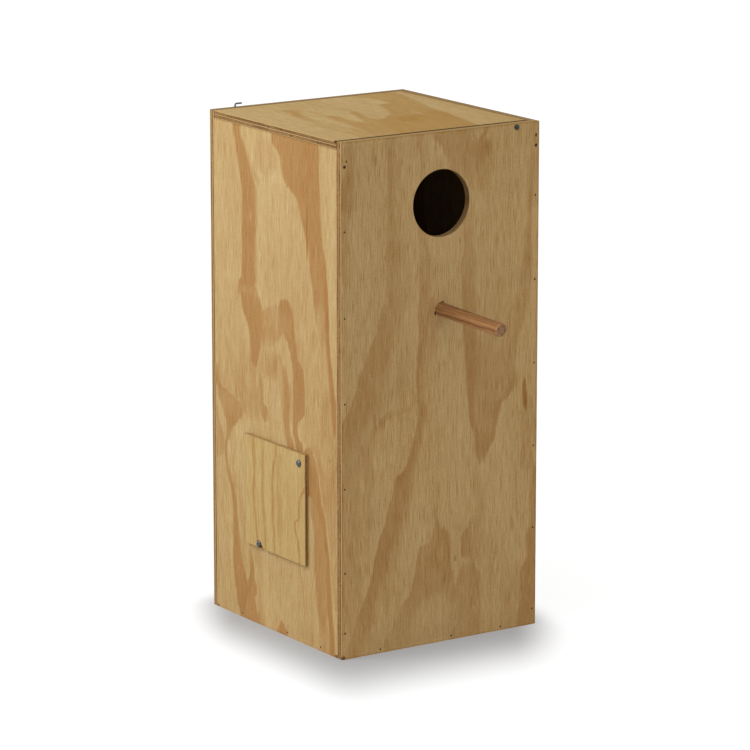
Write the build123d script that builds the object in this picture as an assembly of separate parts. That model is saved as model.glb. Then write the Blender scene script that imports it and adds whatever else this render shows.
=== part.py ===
from build123d import *
import os
from math import atan2, cos, degrees, hypot, radians, sin

# Plywood nest box for parrots: a tall box nailed together from sheet, with a round entrance and a perch
# in front, a lid that swings on two screws, a small inspection door on the left side and a ladder inside.
# Millimetres. The origin is the middle of the underside, +Z is up, the front faces -Y, the left side -X.

# Sheet stock
ply = 9.0
door_ply = 4.5

# Outside of the box
box_width = 272.0
box_depth = 280.0
box_height = 600.0

# Entrance hole, and the perch below it
entrance_diameter = 78.0
entrance_top_margin = 43.0
perch_diameter = 16.0
perch_reach = 120.0
perch_below_entrance = 84.0
perch_droop_deg = 1.6
perch_tuck = 0.8
perch_end_chamfer = 0.8
perch_fit = 0.05

# Lid, and the two screws it swings on
lid_front_gap = 1.2
lid_back_gap = 0.8
lid_tail_gap = 1.0
lid_seat_gap = 0.2
lid_pivot_inset = 32.0
lid_screw_shank = 3.5
lid_screw_head = 7.0
lid_screw_head_height = 2.2
lid_screw_bite = 22.0

# Inspection door, its two screws, and the opening behind it
door_width = 130.0
door_height = 132.0
door_setback = 70.0
door_rise = 96.0
door_gap = 0.3
door_lap = 20.0
opening_corner = 6.0
door_screw_shank = 4.0
door_screw_head = 8.0
door_screw_head_height = 2.6
door_screw_bite = 7.0
door_pivot_inset = 12.0
latch_back_inset = 31.0
latch_rise = 4.5
slot_play_deg = 1.2
slot_fit = 0.3

# Square-bend wire hook that holds the lid down
hook_wire = 2.0
hook_inset = 32.0
hook_height = 4.3
hook_arm = 9.0
hook_bend = 1.8
hook_bite = 14.0

# Brads of flat wire that nail the panels together
brad_width = 1.6
brad_thickness = 1.4
brad_length = 25.0
brad_set = 0.6
brad_point = 2.5
brad_pitch = 99.0
brad_top_margin = 28.0
left_column_start = 31.0
left_column_step = 71.0
right_column_start = 19.0
front_foot_start = 53.0
front_foot_last = 50.0
side_foot_start = 45.0
side_foot_step = 71.0

# Welded wire ladder inside the front, and its staples
ladder_wire = 1.6
ladder_pitch = 25.0
ladder_uprights = 4
ladder_foot_gap = 22.0
ladder_top_gap = 22.0
ladder_tip = 5.0
weld_sink = 0.3
staple_wire = 1.2
staple_crown = 9.0
staple_bite = 6.0
staple_bend = 0.8

# Pan heads: rim bevel and cross recess, as shares of the head's height and width
rim_bevel = 0.5
recess_span = 0.52
recess_width = 0.13
recess_depth = 0.5

# Clearances shared by all fasteners
turning_fit = 0.05
driven_fit = 0.02
head_gap = 0.2
hole_spare = 0.5

# Places that follow from the sizes above
left_face = -box_width / 2
right_face = box_width / 2
front_face = -box_depth / 2
back_face = box_depth / 2
front_inside = front_face + ply
back_inside = back_face - ply
side_height = box_height - ply - lid_seat_gap
lid_axis_x = right_face - lid_pivot_inset
lid_axis_z = box_height - ply / 2
entrance_z = box_height - entrance_top_margin - entrance_diameter / 2
perch_z = entrance_z - entrance_diameter / 2 - perch_below_entrance
door_front = front_face + door_setback
door_back = door_front + door_width
door_top = door_rise + door_height
door_inner_face = left_face - door_gap
door_outer_face = door_inner_face - door_ply
pivot_y = door_front + door_pivot_inset
pivot_z = door_top - door_pivot_inset
latch_y = door_back - latch_back_inset
latch_z = door_rise + latch_rise
hook_x = left_face + hook_inset
hook_y = back_face - ply / 2


# Stock shapes
def panel(low, high):
    """A flat rectangular panel between two corners."""
    size = [b - a for a, b in zip(low, high)]
    return Pos(*low) * Box(*size, align=(Align.MIN, Align.MIN, Align.MIN))


on_end = (Align.CENTER, Align.CENTER, Align.MIN)


def rod(start, direction, radius, length):
    """A round rod from a point along a direction."""
    return Plane(start, z_dir=direction) * Cylinder(radius, length, align=on_end)


def driving_plane(start, direction):
    """The plane that a brad is driven from: its Y axis is upright, so all brads stand alike."""
    return Plane(start, x_dir=Vector(direction).cross(Vector(0, 0, -1)), z_dir=direction)


def brad(start, direction):
    """A flat-wire brad with a chisel point, driven until its end is punched below the face."""
    half = brad_thickness / 2
    outline = Polyline(
        (-half, brad_set),
        (half, brad_set),
        (half, brad_set + brad_length - brad_point),
        (0, brad_set + brad_length),
        (-half, brad_set + brad_length - brad_point),
        close=True,
    )
    blade = extrude(Plane.XZ * make_face(outline), brad_width / 2, both=True)
    return driving_plane(start, direction) * blade


def brad_hole(start, direction):
    """The hole that a brad makes on its way through the sheets."""
    depth = brad_set + brad_length + driven_fit
    hole = Box(brad_thickness + 2 * driven_fit, brad_width + 2 * driven_fit, depth, align=on_end)
    return driving_plane(start, direction) * hole


def pan_screw(seat, direction, head, head_height, shank, length):
    """A pan-head screw: its head's underside at the seat, its shank running along the direction."""
    outline = Polyline(
        (0, -head_height),
        (head / 2, -head_height),
        (head / 2, 0),
        (shank / 2, 0),
        (shank / 2, length - shank / 2),
        (shank / 4, length),
        (0, length),
        close=True,
    )
    profile = make_face(outline)
    rim = profile.vertices().sort_by(Axis.Y)[:2].sort_by(Axis.X)[-1]
    profile = chamfer(rim, head_height * rim_bevel)
    body = revolve(Plane.XZ * profile, Axis.Z)
    recess = Box(head * recess_span, head * recess_width, 2 * head_height * recess_depth)
    for turn in (0, 90):
        body -= Pos(0, 0, -head_height) * Rot(0, 0, turn) * recess
    return Plane(seat, z_dir=direction) * body


# Brad rows, as heights up a panel's edge or as places along its foot
def column(start, first_step):
    """Heights of one column of brads: a first step, then even pitches, and one near the top."""
    top = box_height - brad_top_margin
    heights = [start]
    height = start + first_step
    while height < top - brad_pitch / 2:
        heights.append(height)
        height += brad_pitch
    return heights + [top]


left_column = column(left_column_start, left_column_step)
right_column = column(right_column_start, brad_pitch)
front_foot = [
    left_face + front_foot_start,
    left_face + front_foot_start + brad_pitch,
    right_face - front_foot_last,
]
side_foot = [
    front_face + side_foot_start,
    front_face + side_foot_start + side_foot_step,
    front_face + side_foot_start + side_foot_step + brad_pitch,
]
edge_x = right_face - ply / 2
foot_z = ply / 2


inward = {"front": (0, 1, 0), "back": (0, -1, 0), "left": (1, 0, 0), "right": (-1, 0, 0)}
faces = {"front": front_face, "back": back_face, "left": left_face, "right": right_face}

# Each seam's brads, as pairs of the point where a brad enters and the way it is driven
seams = {}
for wall in ("front", "back"):
    seams[wall, "left"] = [((-edge_x, faces[wall], z), inward[wall]) for z in left_column]
    seams[wall, "right"] = [((edge_x, faces[wall], z), inward[wall]) for z in right_column]
    seams[wall, "floor"] = [((x, faces[wall], foot_z), inward[wall]) for x in front_foot]
for wall in ("left", "right"):
    seams[wall, "floor"] = [((faces[wall], y, foot_z), inward[wall]) for y in side_foot]


def with_brad_holes(body, name):
    """The panel with the holes of all the brads that pass through it or end in it."""
    rows = [seats for seam, seats in seams.items() if name in seam]
    return body - [brad_hole(*seat) for seats in rows for seat in seats]


# Perch: a dowel through the front, drooping a little, its inner end just short of the inner face
droop = radians(perch_droop_deg)
perch_direction = Vector(0, -cos(droop), -sin(droop))
perch_mouth = Vector(0, front_face, perch_z)
perch_inner_end = perch_mouth - perch_direction * (ply - perch_tuck)


def make_perch():
    length = perch_reach + ply - perch_tuck
    dowel = rod(perch_inner_end, perch_direction, perch_diameter / 2, length)
    tip = dowel.edges().filter_by(GeomType.CIRCLE).sort_by(Axis.Y)[0]
    return chamfer(tip, perch_end_chamfer)


def perch_hole():
    radius = perch_diameter / 2 + perch_fit
    return rod(perch_mouth - perch_direction * 2 * ply, perch_direction, radius, 4 * ply)


# Ladder: uprights against the front, rungs welded across them, stapled at the outer uprights
ladder_low = ply + ladder_foot_gap
ladder_high = entrance_z - entrance_diameter / 2 - ladder_top_gap
rung_count = int((ladder_high - ladder_low - 2 * ladder_tip) // ladder_pitch) + 1
upright_y = front_inside + ladder_wire / 2
rung_y = upright_y + ladder_wire - weld_sink
upright_xs = [(i - (ladder_uprights - 1) / 2) * ladder_pitch for i in range(ladder_uprights)]
rung_zs = [ladder_low + ladder_tip + i * ladder_pitch for i in range(rung_count)]


def make_wire(start, direction, across, length):
    """A straight length of ladder wire, six-sided, with two flats square to the front panel."""
    section = RegularPolygon(ladder_wire / 2, 6, major_radius=False)
    return extrude(Plane(start, x_dir=across, z_dir=direction) * section, length)


def make_ladder():
    upright_length = 2 * ladder_tip + (rung_count - 1) * ladder_pitch
    rung_length = 2 * ladder_tip + (ladder_uprights - 1) * ladder_pitch
    up = (0, 0, 1)
    right = (1, 0, 0)
    uprights = [make_wire((x, upright_y, ladder_low), up, right, upright_length) for x in upright_xs]
    rungs = [make_wire((-rung_length / 2, rung_y, z), right, up, rung_length) for z in rung_zs]
    return uprights[0].fuse(*uprights[1:], *rungs)


staple_zs = [rung_zs[i] + ladder_pitch / 2 for i in (0, rung_count // 2 - 1, rung_count - 2)]
staple_seats = [(x, z) for x in (upright_xs[0], upright_xs[-1]) for z in staple_zs]


def make_staple(x, z):
    """A flat-wire staple over one upright, its two legs in the front panel."""
    leg_length = staple_bite + ladder_wire + driven_fit
    outside = Rectangle(staple_crown, leg_length + staple_wire, align=(Align.CENTER, Align.MIN))
    inside = Rectangle(staple_crown - 2 * staple_wire, leg_length, align=(Align.CENTER, Align.MIN))
    outline = outside - inside
    shoulders = outline.vertices().sort_by(Axis.Y)[-2:]
    bow = extrude(fillet(shoulders, staple_bend), staple_wire / 2, both=True)
    return Pos(x, front_inside - staple_bite, z) * bow


def staple_holes():
    """The holes of the staples' legs, in the inner face of the front."""
    width = staple_wire + 2 * driven_fit
    hole = Box(width, 2 * (staple_bite + driven_fit), width)
    reach = (staple_crown - staple_wire) / 2
    return [Pos(x + side * reach, front_inside, z) * hole for x, z in staple_seats for side in (-1, 1)]


# Front and back: full height, nailed over the edges of the sides and the floor
def lid_screw_holes():
    radius = lid_screw_shank / 2 + turning_fit
    return rod((lid_axis_x, front_face - ply, lid_axis_z), (0, 1, 0), radius, box_depth + 2 * ply)


def make_front():
    body = panel((left_face, front_face, 0), (right_face, front_inside, box_height))
    entrance = rod((0, front_face - ply, entrance_z), (0, 1, 0), entrance_diameter / 2, 3 * ply)
    body = body - [entrance, perch_hole(), lid_screw_holes()] - staple_holes()
    return with_brad_holes(body, "front")


def hook_hole():
    radius = hook_wire / 2 + turning_fit
    return rod((hook_x, hook_y, box_height), (0, 0, -1), radius, hook_bite + hole_spare)


def make_back():
    body = panel((left_face, back_inside, 0), (right_face, back_face, box_height))
    return with_brad_holes(body - [lid_screw_holes(), hook_hole()], "back")


# Left side: cut down for the lid, with the inspection opening and the pilot holes of the door's screws
def door_screw_holes():
    radius = door_screw_shank / 2 + driven_fit
    depth = door_screw_bite + hole_spare
    seats = [(left_face, pivot_y, pivot_z), (left_face, latch_y, latch_z)]
    return [rod(seat, (1, 0, 0), radius, depth) for seat in seats]


def make_left_side():
    body = panel((left_face, front_inside, 0), (left_face + ply, back_inside, side_height))
    centre = (left_face - ply, (door_front + door_back) / 2, (door_rise + door_top) / 2)
    outline = RectangleRounded(door_width - 2 * door_lap, door_height - 2 * door_lap, opening_corner)
    opening = extrude(Plane(centre, x_dir=(0, 1, 0), z_dir=(1, 0, 0)) * outline, 3 * ply)
    return with_brad_holes(body - opening - door_screw_holes(), "left")


# Right side: full height, the lid's tail turns down inside it
def make_right_side():
    body = panel((right_face - ply, front_inside, 0), (right_face, back_inside, box_height))
    return with_brad_holes(body, "right")


# Floor: between the four walls, flush with their lower edges
def make_floor():
    body = panel((left_face + ply, front_inside, 0), (right_face - ply, back_inside, ply))
    return with_brad_holes(body, "floor")


# Lid: from the left face to the right side, between front and back, with a screw in each end
lid_front_edge = front_inside + lid_front_gap
lid_back_edge = back_inside - lid_back_gap


def make_lid():
    low = (left_face, lid_front_edge, box_height - ply)
    high = (right_face - ply - lid_tail_gap, lid_back_edge, box_height)
    radius = lid_screw_shank / 2 + driven_fit
    depth = lid_screw_bite + hole_spare
    front_hole = rod((lid_axis_x, lid_front_edge, lid_axis_z), (0, 1, 0), radius, depth)
    back_hole = rod((lid_axis_x, lid_back_edge, lid_axis_z), (0, -1, 0), radius, depth)
    return panel(low, high) - [front_hole, back_hole]


def make_lid_screw(face, edge, direction):
    """A pivot screw: its head outside a wall, its shank through the wall and into the lid's edge."""
    seat = (lid_axis_x, face - direction * head_gap, lid_axis_z)
    length = abs(edge - face) + head_gap + lid_screw_bite
    way = (0, direction, 0)
    return pan_screw(seat, way, lid_screw_head, lid_screw_head_height, lid_screw_shank, length)


# Door: a thin plate that turns on the pivot screw; its slot is an arc round that screw
def make_door():
    body = panel((door_outer_face, door_front, door_rise), (door_inner_face, door_back, door_top))
    face = Plane((door_outer_face - door_ply, pivot_y, pivot_z), x_dir=(0, 1, 0), z_dir=(1, 0, 0))
    pivot_hole = Circle(door_screw_shank / 2 + turning_fit)
    reach = hypot(latch_y - pivot_y, latch_z - pivot_z)
    latch_deg = degrees(atan2(latch_z - pivot_z, latch_y - pivot_y))
    sweep_deg = degrees((2 * latch_rise + door_screw_head) / reach)
    run = CenterArc((0, 0), reach, latch_deg + slot_play_deg, -slot_play_deg - sweep_deg)
    slot = SlotArc(run, door_screw_shank + 2 * slot_fit)
    return body - extrude(face * (pivot_hole + slot), 3 * door_ply)


def make_door_screw(y, z):
    seat = (door_outer_face - head_gap, y, z)
    length = head_gap + door_ply + door_gap + door_screw_bite
    return pan_screw(seat, (1, 0, 0), door_screw_head, door_screw_head_height, door_screw_shank, length)


# Hook: a leg up out of the back panel's top edge, bent square, its arm turned along that edge
def make_hook():
    foot = (hook_x, hook_y, box_height - hook_bite)
    corner = (hook_x, hook_y, box_height + hook_height)
    tip = (hook_x + hook_arm, hook_y, box_height + hook_height)
    path = FilletPolyline(foot, corner, tip, radius=hook_bend)
    return sweep(Plane(foot, z_dir=(0, 0, 1)) * Circle(hook_wire / 2), path)


nodes = {
    "front_panel": [make_front()],
    "back_panel": [make_back()],
    "left_side": [make_left_side()],
    "right_side": [make_right_side()],
    "floor_panel": [make_floor()],
    "perch_dowel": [make_perch()],
    "ladder_mesh": [make_ladder()],
    "ladder_staples": [make_staple(*seat) for seat in staple_seats],
    "door_pivot_screw": [make_door_screw(pivot_y, pivot_z)],
    "door_latch_screw": [make_door_screw(latch_y, latch_z)],
    "door_panel": [make_door()],
    "lid_panel": [make_lid()],
    "lid_pivot_screws": [
        make_lid_screw(front_face, lid_front_edge, 1),
        make_lid_screw(back_face, lid_back_edge, -1),
    ],
    "lid_hook": [make_hook()],
}
for (wall, edge), seats in seams.items():
    nodes[f"{wall}_{edge}_brads"] = [brad(*seat) for seat in seats]

os.makedirs("parts", exist_ok=True)
for name, pieces in nodes.items():
    solids = [solid for piece in pieces for solid in piece.solids()]
    export_step(solids[0] if len(solids) == 1 else Compound(solids), f"parts/{name}.step")
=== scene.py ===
# Plywood nest box for parrots: the looks of its pieces. Metres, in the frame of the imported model: the origin
# is the middle of the underside, +Z is up, the front faces -Y and the side with the small door faces -X.
import math
import bmesh
import bpy
from mathutils import Matrix, Vector, noise


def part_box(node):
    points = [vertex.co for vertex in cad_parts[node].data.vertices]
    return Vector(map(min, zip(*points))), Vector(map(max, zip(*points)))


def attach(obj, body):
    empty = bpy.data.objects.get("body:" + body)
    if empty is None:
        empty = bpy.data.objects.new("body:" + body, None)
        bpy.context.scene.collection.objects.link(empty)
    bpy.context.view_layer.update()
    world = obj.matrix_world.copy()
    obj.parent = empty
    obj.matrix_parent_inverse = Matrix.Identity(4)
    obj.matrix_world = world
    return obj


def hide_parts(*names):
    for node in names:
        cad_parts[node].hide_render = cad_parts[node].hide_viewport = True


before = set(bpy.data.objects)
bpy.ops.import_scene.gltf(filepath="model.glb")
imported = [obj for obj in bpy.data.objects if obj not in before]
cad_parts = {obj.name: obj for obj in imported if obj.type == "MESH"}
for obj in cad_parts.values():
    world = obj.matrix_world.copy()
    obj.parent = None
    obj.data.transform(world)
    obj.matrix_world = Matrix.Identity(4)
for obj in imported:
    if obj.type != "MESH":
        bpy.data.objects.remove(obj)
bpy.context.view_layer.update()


# Floor panel: a rectangle of raw pine plywood that lies between the four walls, flush with their lower edges.
# Like all the panels it is sawn from 9 mm five-ply sheet, with its corners eased by sandpaper. The nails that
# hold it come in from the walls.
def tint(red, green, blue):
    """A colour as it looks on screen, 0 to 255, in the linear values that shaders take."""
    shares = [level / 255 for level in (red, green, blue)]
    dark_end = 0.04045
    return [part / 12.92 if part < dark_end else ((part + 0.055) / 1.055) ** 2.4 for part in shares] + [1.0]


class Recipe:
    """A node tree written step by step: each method adds one node and gives its output."""

    def __init__(self, tree):
        self.tree = tree

    def give(self, node, values):
        """Links or sets a node's inputs."""
        for key, value in values.items():
            if isinstance(value, bpy.types.NodeSocket):
                self.tree.links.new(value, node.inputs[key])
            else:
                node.inputs[key].default_value = value

    def put(self, kind, inputs, output=0, **settings):
        """Any one node, with its inputs and settings."""
        step = self.tree.nodes.new(kind if "Node" in kind else "ShaderNode" + kind)
        for name, value in settings.items():
            setattr(step, name, value)
        self.give(step, inputs)
        return step.outputs[output]

    def use(self, group, inputs):
        """Places a shared shader group; gives its outputs by name."""
        step = self.tree.nodes.new("ShaderNodeGroup")
        step.node_tree = group
        self.give(step, inputs)
        return step.outputs

    def calc(self, operation, *values):
        """Any one sum."""
        return self.put("Math", dict(enumerate(values)), operation=operation)

    def times(self, value, other):
        return self.calc("MULTIPLY", value, other)

    def plus(self, value, other):
        return self.calc("ADD", value, other)

    def minus(self, value, other):
        return self.calc("SUBTRACT", value, other)

    def line(self, value, slope, start):
        """The value times a slope, plus a start."""
        return self.calc("MULTIPLY_ADD", value, slope, start)

    def fade(self, value, low, high, start=0.0, end=1.0):
        """Goes smoothly from start to end while the value goes from low to high."""
        span = {"Value": value, "From Min": low, "From Max": high, "To Min": start, "To Max": end}
        return self.put("MapRange", span, interpolation_type="SMOOTHSTEP")

    def vector(self, x, y, z):
        return self.put("CombineXYZ", {0: x, 1: y, 2: z})

    def parts(self, vector):
        """The three numbers of a vector."""
        return self.put("SeparateXYZ", {0: vector}).node.outputs

    def distance(self, x, y):
        """How far a point of a plane is from the plane's origin."""
        return self.put("VectorMath", {0: self.vector(x, y, 0.0)}, output="Value", operation="LENGTH")

    def scale(self, vector, factor):
        """A vector or a colour times a factor."""
        return self.put("VectorMath", {0: vector, "Scale": factor}, operation="SCALE")

    def stretch(self, vector, x, y, z):
        """A vector with each of its numbers times a factor of its own."""
        return self.put("VectorMath", {0: vector, 1: (x, y, z)}, operation="MULTIPLY")

    def mottle(self, vector, scale=1.0, detail=2.0, roughness=0.5):
        """Cloudy noise between 0 and 1, about 0.5 on the whole."""
        grain = {"Vector": vector, "Scale": scale, "Detail": detail, "Roughness": roughness}
        return self.put("TexNoise", grain)

    def blend(self, share, below, above):
        """One colour over another, by a share."""
        return self.put("Mix", {0: share, 6: below, 7: above}, output=2, data_type="RGBA")


def new_group(name, inputs, outputs, kind="ShaderNodeTree"):
    """An empty node group; gives its recipe, its input sockets by name, and its output node."""
    tree = bpy.data.node_groups.new(name, kind)
    for in_out, sockets in (("INPUT", inputs), ("OUTPUT", outputs)):
        for socket, sort in sockets.items():
            tree.interface.new_socket(socket, in_out=in_out, socket_type="NodeSocket" + sort)
    return Recipe(tree), tree.nodes.new("NodeGroupInput").outputs, tree.nodes.new("NodeGroupOutput")


def new_finish(name):
    """An empty material; gives it with its recipe, its shader and the point in millimetres and normal."""
    material = bpy.data.materials.new(name)
    material.use_nodes = True
    mix = Recipe(material.node_tree)
    coordinates = mix.tree.nodes.new("ShaderNodeTexCoord").outputs
    place = mix.scale(coordinates["Object"], 1000.0)
    return material, mix, material.node_tree.nodes["Principled BSDF"], place, coordinates["Normal"]


def set_out(name, data):
    """A new object in the scene."""
    thing = bpy.data.objects.new(name, data)
    bpy.context.scene.collection.objects.link(thing)
    return thing


surface = {"Color": "Color", "Roughness": "Float", "Height": "Float"}


def make_ply_sheet():
    """Plywood from any side: peeled veneer with its fibres on the faces, the glued layers on cut edges."""
    end_dark, end_pale = tint(126, 90, 54), tint(168, 131, 86)
    tear_tone, shadow_tone, glue_tone = tint(66, 44, 27), tint(96, 66, 40), tint(72, 46, 26)
    places = ("Across", "Along", "Through", "End On", "Flat On", "Latewood", "Flecks")
    sizes = ("Width", "Length", "Middle", "Core", "Cross")
    inputs = {name: "Float" for name in places + sizes} | {"Pale": "Color", "Late": "Color"}
    mix, given, out = new_group("ply sheet", inputs, surface)
    across, along, through = (given[name] for name in ("Across", "Along", "Through"))
    place = mix.vector(across, along, through)
    drift = mix.mottle(mix.stretch(place, 0.011, 0.006, 0.03), detail=1)
    bent = mix.vector(mix.line(drift, 9.0, across), along, through)

    # Fibres run along the sheet: broad streaks, fine threads, and short dark resin lines.
    shades = mix.mottle(mix.stretch(bent, 0.16, 0.002, 0.16), detail=2)
    streaks = mix.mottle(mix.stretch(bent, 0.65, 0.009, 0.65), detail=4, roughness=0.62)
    threads = mix.mottle(mix.stretch(bent, 1.0, 0.042, 1.0), detail=3, roughness=0.62)
    fuzz = mix.mottle(place, 0.42, detail=2)
    resin = mix.fade(mix.mottle(mix.stretch(bent, 1.0, 0.035, 1.0), detail=2), 0.57, 0.72)
    resin = mix.times(resin, given["Flecks"])

    # Latewood is even where it is strong, and breaks up into patches and fibres where it is weak.
    patchy = mix.mottle(mix.stretch(place, 0.09, 0.02, 0.09), detail=4)
    weak = mix.times(given["Latewood"], mix.minus(1.0, given["Latewood"]))
    weak = mix.calc("MAXIMUM", weak, 0.0)
    ragged = mix.line(patchy, 6.0, mix.line(streaks, 4.0, -5.0))
    late = mix.times(given["Latewood"], mix.fade(streaks, 0.25, 0.75, 0.86, 1.14))
    late = mix.calc("MAXIMUM", mix.line(weak, ragged, late), 0.0)
    face = {0: mix.calc("MINIMUM", late, 1.8), 6: given["Pale"], 7: given["Late"]}
    face = mix.put("Mix", face, output=2, data_type="RGBA", clamp_factor=False)

    # Each sort of fibre darkens the wood where it is strong and lightens it where it is weak.
    tone = mix.fade(drift, 0.25, 0.75, 0.07, -0.07)
    for fibre, contrast in ((streaks, 0.8), (threads, 1.75), (fuzz, 0.5), (shades, 0.4)):
        tone = mix.plus(tone, mix.line(fibre, -contrast, contrast / 2))
    tone = mix.plus(tone, mix.line(resin, 0.5, -0.03))

    # Handled borders: a little grime where the face meets its cut edge.
    from_side = mix.calc("MINIMUM", across, mix.minus(given["Width"], across))
    from_end = mix.calc("MINIMUM", along, mix.minus(given["Length"], along))
    border = mix.calc("MINIMUM", from_side, from_end)
    border = mix.plus(border, mix.times(mix.mottle(place, 0.12, detail=3), -3.0))
    border = mix.times(mix.fade(border, -1.2, 1.2, 0.3, 0.0), given["Flecks"])
    tone = mix.plus(tone, border)
    warmth = [mix.line(tone, loss, 1.0) for loss in (-0.42, -0.68, -1.05)]
    face = mix.put("VectorMath", {0: face, 1: mix.vector(*warmth)}, operation="MULTIPLY")

    # Cut edges: core, crossbands and faces lie either side of the middle, parted by dark glue lines.
    waver = mix.line(mix.mottle(mix.stretch(place, 0.03, 0.03, 0.0), detail=2), 0.5, -0.25)
    depth = mix.calc("ABSOLUTE", mix.plus(mix.minus(through, given["Middle"]), waver))
    past_core = mix.minus(depth, given["Core"])
    past_cross = mix.minus(depth, given["Cross"])
    cross = mix.times(mix.fade(past_core, -0.06, 0.06), mix.fade(past_cross, -0.06, 0.06, 1.0, 0.0))
    glue = mix.calc("MINIMUM", mix.calc("ABSOLUTE", past_core), mix.calc("ABSOLUTE", past_cross))
    glue = mix.fade(glue, 0.14, 0.34, 1.0, 0.0)
    end_on = mix.times(given["End On"], given["End On"])
    end_grain = mix.calc("ABSOLUTE", mix.minus(cross, end_on))
    run = mix.plus(across, along)

    def on_cut(way, along_scale, through_scale, detail, start=0.0):
        """Mottle on a cut edge, drawn out along it and through the layers."""
        spot = mix.vector(mix.times(way, along_scale), mix.times(through, through_scale), start)
        return mix.mottle(spot, detail=detail)

    slant = mix.plus(run, mix.times(through, 1.1))
    hatch = mix.fade(on_cut(slant, 1.3, 0.2, 3), 0.3, 0.68)
    saw = on_cut(run, 0.06, 2.2, 3)
    long_grain = mix.scale(given["Pale"], mix.fade(saw, 0.25, 0.75, 0.94, 1.1))
    ends = mix.blend(hatch, end_dark, end_pale)
    torn = mix.fade(on_cut(run, 0.09, 0.5, 2), 0.63, 0.7, 0.0, 0.75)
    ends = mix.blend(torn, ends, tear_tone)
    shadowed = mix.fade(on_cut(run, 0.02, 0.25, 4, 5.0), 0.46, 0.6, 0.0, 0.55)
    ends = mix.blend(shadowed, ends, shadow_tone)
    edge = mix.blend(end_grain, long_grain, ends)
    edge = mix.blend(mix.times(glue, 0.9), edge, glue_tone)
    on_edge = mix.fade(given["Flat On"], 0.55, 0.85, 1.0, 0.0)
    colour = mix.blend(on_edge, face, edge)

    rough = mix.fade(late, 0.0, 1.0, 0.76, 0.66)
    rough = mix.plus(rough, mix.line(threads, 0.16, -0.08))
    rough = mix.calc("MAXIMUM", rough, mix.times(on_edge, 0.86))
    relief = mix.line(threads, 0.5, mix.times(streaks, 0.5))
    relief = mix.minus(relief, mix.times(resin, 0.35))
    cut = mix.line(hatch, mix.times(end_grain, 0.9), mix.times(saw, 0.5))
    cut = mix.minus(cut, mix.times(glue, 0.5))
    height = mix.put("Mix", {0: on_edge, 2: relief, 3: cut}, data_type="FLOAT")
    mix.give(out, {"Color": colour, "Roughness": rough, "Height": height})
    return mix.tree


ply_sheet = make_ply_sheet()


def draw_figure(mix, across, along, length, bands):
    """Latewood of a peeled veneer: bands between two edges that waver along the grain, with feathered ends.
    A band has the softness of its two edges, and stations along the grain with both edges and a strength.
    A band of negative strength is a pale island in the bands before it. All in millimetres."""
    waver, feathering = 5.0, 12.0
    run_out, past_edge = 8.0, 320.0
    before, after = -0.45, 1.45
    place = mix.vector(across, along, 0.0)
    sway = mix.line(mix.mottle(mix.stretch(place, 0.03, 0.012, 0.0), detail=3), waver, -waver / 2)
    feather = mix.line(mix.mottle(mix.stretch(place, 0.3, 0.006, 0.0), detail=3), feathering, -feathering / 2)
    side = mix.plus(across, sway)
    share = mix.calc("DIVIDE", mix.plus(along, feather), length)
    share = mix.vector(share, share, share)
    total = 0.0
    for (soft_low, soft_high), points in bands:
        points = sorted(points)
        ends = []
        for way, (along_end, low, high, strength) in ((-1, points[0]), (1, points[-1])):
            if 0 < along_end < length - 1:
                middle = (low + high) / 2
                ends.append((along_end + way * run_out, middle + soft_low, middle - soft_high, 0.0))
            else:
                ends.append((along_end + way * past_edge, low, high, strength))
        curve = mix.tree.nodes.new("ShaderNodeVectorCurve")
        curve.mapping.use_clip = False
        curve.mapping.extend = "HORIZONTAL"
        for channel, line in enumerate(curve.mapping.curves):
            stops = [ends[0], *points, ends[1]]
            stations = [(stop[0] / length, stop[channel + 1]) for stop in stops]
            while len(line.points) < len(stations):
                line.points.new(0.0, 0.0)
            for point, station in zip(line.points, stations):
                point.location = station
                point.handle_type = "AUTO_CLAMPED"
        curve.mapping.update()
        mix.tree.links.new(share, curve.inputs["Vector"])
        low, high, strength = mix.parts(curve.outputs[0])
        rise = mix.fade(mix.minus(side, low), before * soft_low, after * soft_low)
        fall = mix.fade(mix.minus(high, side), before * soft_high, after * soft_high)
        mask = mix.times(strength, mix.times(rise, fall))
        pale_island = points[0][3] < 0
        total = mix.line(total, mask, total) if pale_island else mix.calc("MAXIMUM", total, mask)
    return total


def draw_marks(mix, across, along, marks):
    """Knots, chips, brad holes and painted shadows: each mark is a ragged spot with a place, two sizes and a
    strength.
    """
    ragged = mix.line(mix.mottle(mix.vector(across, along, 0.0), 0.7, detail=2), 1.0, -0.5)
    total = 0.0
    for spot_across, spot_along, wide, tall, strength in marks:
        x = mix.calc("DIVIDE", mix.minus(across, spot_across), wide)
        y = mix.calc("DIVIDE", mix.minus(along, spot_along), tall)
        far = mix.plus(mix.distance(x, y), ragged)
        total = mix.calc("MAXIMUM", total, mix.fade(far, 0.5, 1.0, strength, 0.0))
    return total


# A brad's head is punched below the face and leaves a small dark mark in a dent. The topmost are set deeper.
deep_set_from = 0.55
brad_mark, deep_mark = 1.45, 2.4
brad_tallness, brad_darkness = 1.1, 0.95
brad_dent, deep_dent = 0.0004, 0.0009
brad_rim_reach = 0.0018


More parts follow.
